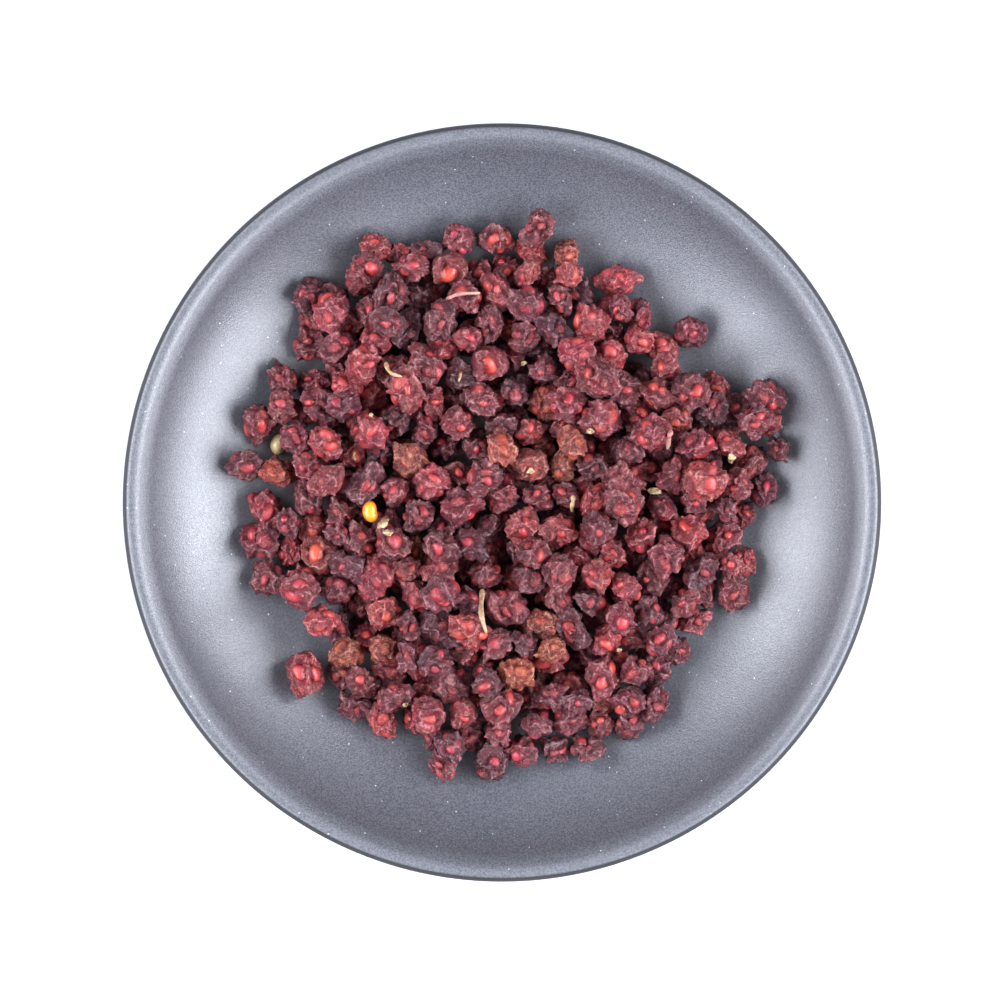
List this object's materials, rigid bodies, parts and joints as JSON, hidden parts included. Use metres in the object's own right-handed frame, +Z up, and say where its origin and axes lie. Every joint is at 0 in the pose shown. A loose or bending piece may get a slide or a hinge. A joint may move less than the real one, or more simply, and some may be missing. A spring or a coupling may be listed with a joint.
{
  "type": "bowl of dried schisandra berries",
  "caption": "Shallow round stoneware bowl on a foot ring, holding a loose heap of wrinkled dried schisandra berries.",
  "frame": {"origin": "centre of the foot ring, on the plane that the bowl stands on", "axes": "+Z up out of the bowl; seen from above with +Y to the top, +X points right"},
  "size_m": [0.16, 0.16, 0.0268],
  "materials": {
    "glaze": "satin",
    "berry_skin": "satin",
    "ripe_seed": "satin",
    "pale_seed": "satin"
  },
  "bodies": {
    "root": {"berry_clump_01": "berry_skin", "berry_clump_02": "berry_skin", "berry_clump_03": "berry_skin", "berry_clump_04": "berry_skin", "berry_clump_05": "berry_skin", "berry_clump_06": "berry_skin", "berry_clump_07": "berry_skin", "berry_clump_08": "berry_skin", "berry_clump_09": "berry_skin", "berry_clump_10": "berry_skin", "berry_clump_11": "berry_skin", "berry_clump_12": "berry_skin", "berry_clump_13": "berry_skin", "berry_clump_14": "berry_skin", "berry_clump_15": "berry_skin", "berry_clump_16": "berry_skin", "berry_clump_17": "berry_skin", "berry_clump_18": "berry_skin", "berry_clump_19": "berry_skin", "berry_clump_20": "berry_skin", "berry_clump_21": "berry_skin", "berry_clump_22": "berry_skin", "berry_clump_23": "berry_skin", "berry_clump_24": "berry_skin", "berry_clump_25": "berry_skin", "berry_clump_26": "berry_skin", "berry_clump_27": "berry_skin", "berry_clump_28": "berry_skin", "berry_clump_29": "berry_skin", "berry_clump_30": "berry_skin", "berry_clump_31": "berry_skin", "berry_clump_32": "berry_skin", "berry_clump_33": "berry_skin", "berry_clump_34": "berry_skin", "berry_clump_35": "berry_skin", "berry_clump_36": "berry_skin", "berry_clump_37": "berry_skin", "berry_clump_38": "berry_skin", "berry_clump_39": "berry_skin", "berry_clump_40": "berry_skin", "bowl": "glaze", "seed_on_floor": "pale_seed", "seed_on_heap": "ripe_seed", "stray_berry": "berry_skin"}
  },
  "joints": []
}
